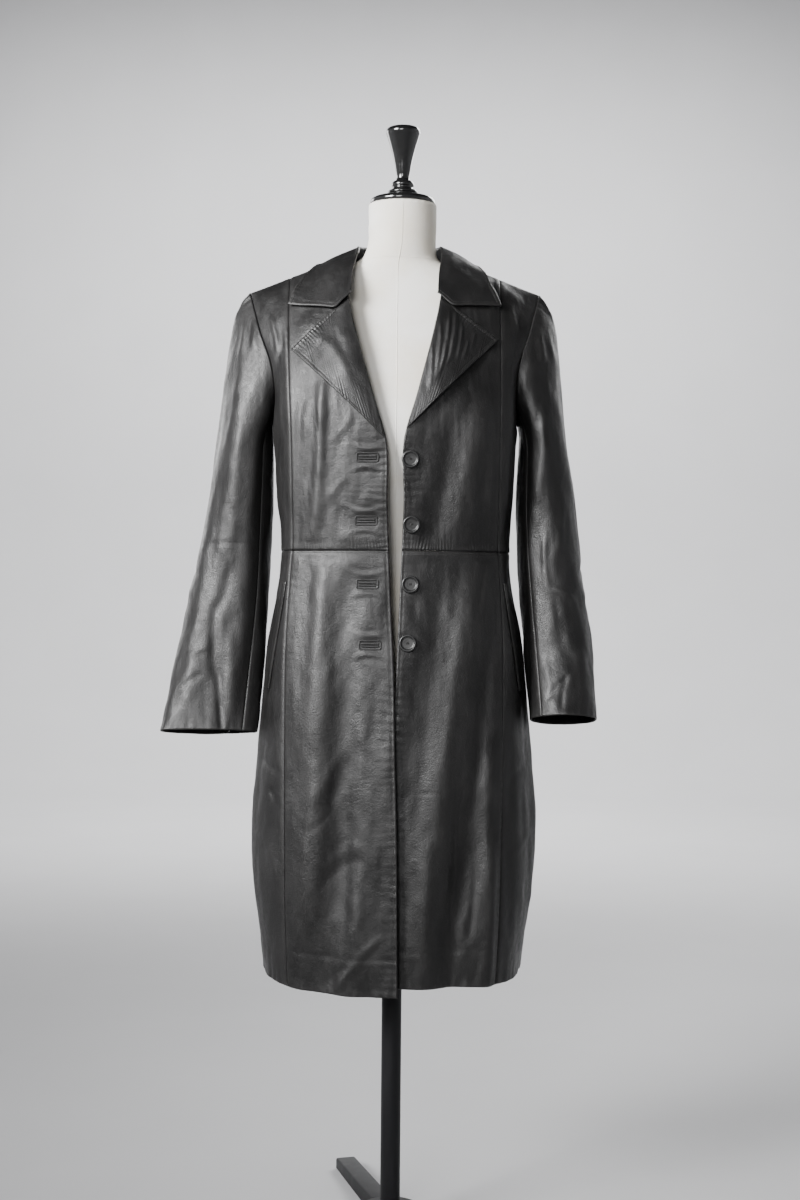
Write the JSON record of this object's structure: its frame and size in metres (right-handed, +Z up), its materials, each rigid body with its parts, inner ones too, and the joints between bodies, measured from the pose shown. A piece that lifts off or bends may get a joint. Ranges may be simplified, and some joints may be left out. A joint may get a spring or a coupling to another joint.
{
  "type": "leather coat on a dress form",
  "caption": "Knee-length black leather coat with notched lapels, waist seam and front buttons, worn open on a limbless canvas dress form on a pole stand.",
  "frame": {"origin": "middle of the stand's hub on the floor, on the pole's axis", "axes": "+Z up along the pole, -Y out of the coat's front, +X to the wearer's left"},
  "size_m": [0.6358, 0.4693, 1.635],
  "materials": {
    "leather": "soft semi-gloss black nappa",
    "button": "black, slightly domed with a rim",
    "canvas": "off-white stretched canvas",
    "lacquer": "turned wood, black gloss lacquer",
    "metal": "satin black"
  },
  "bodies": {
    "root": {"back_bodice": "leather", "back_skirt": "leather", "base_hub": "metal", "base_leg_1": "metal", "base_leg_2": "metal", "base_leg_3": "metal", "button_1": "button", "button_2": "button", "button_3": "button", "button_4": "button", "buttonhole_1": "leather", "buttonhole_2": "leather", "buttonhole_3": "leather", "buttonhole_4": "leather", "collar": "leather", "finial": "lacquer", "form_torso": "canvas", "front_bodice_left": "leather", "front_bodice_right": "leather", "front_skirt_left": "leather", "front_skirt_right": "leather", "lapel_left": "leather", "lapel_right": "leather", "neck_cap": "lacquer", "pocket_welt_left": "leather", "pocket_welt_right": "leather", "pole": "metal", "side_bodice_left": "leather", "side_bodice_right": "leather", "side_skirt_left": "leather", "side_skirt_right": "leather", "under_sleeve_left": "leather", "under_sleeve_right": "leather", "upper_sleeve_left": "leather", "upper_sleeve_right": "leather"}
  },
  "joints": []
}
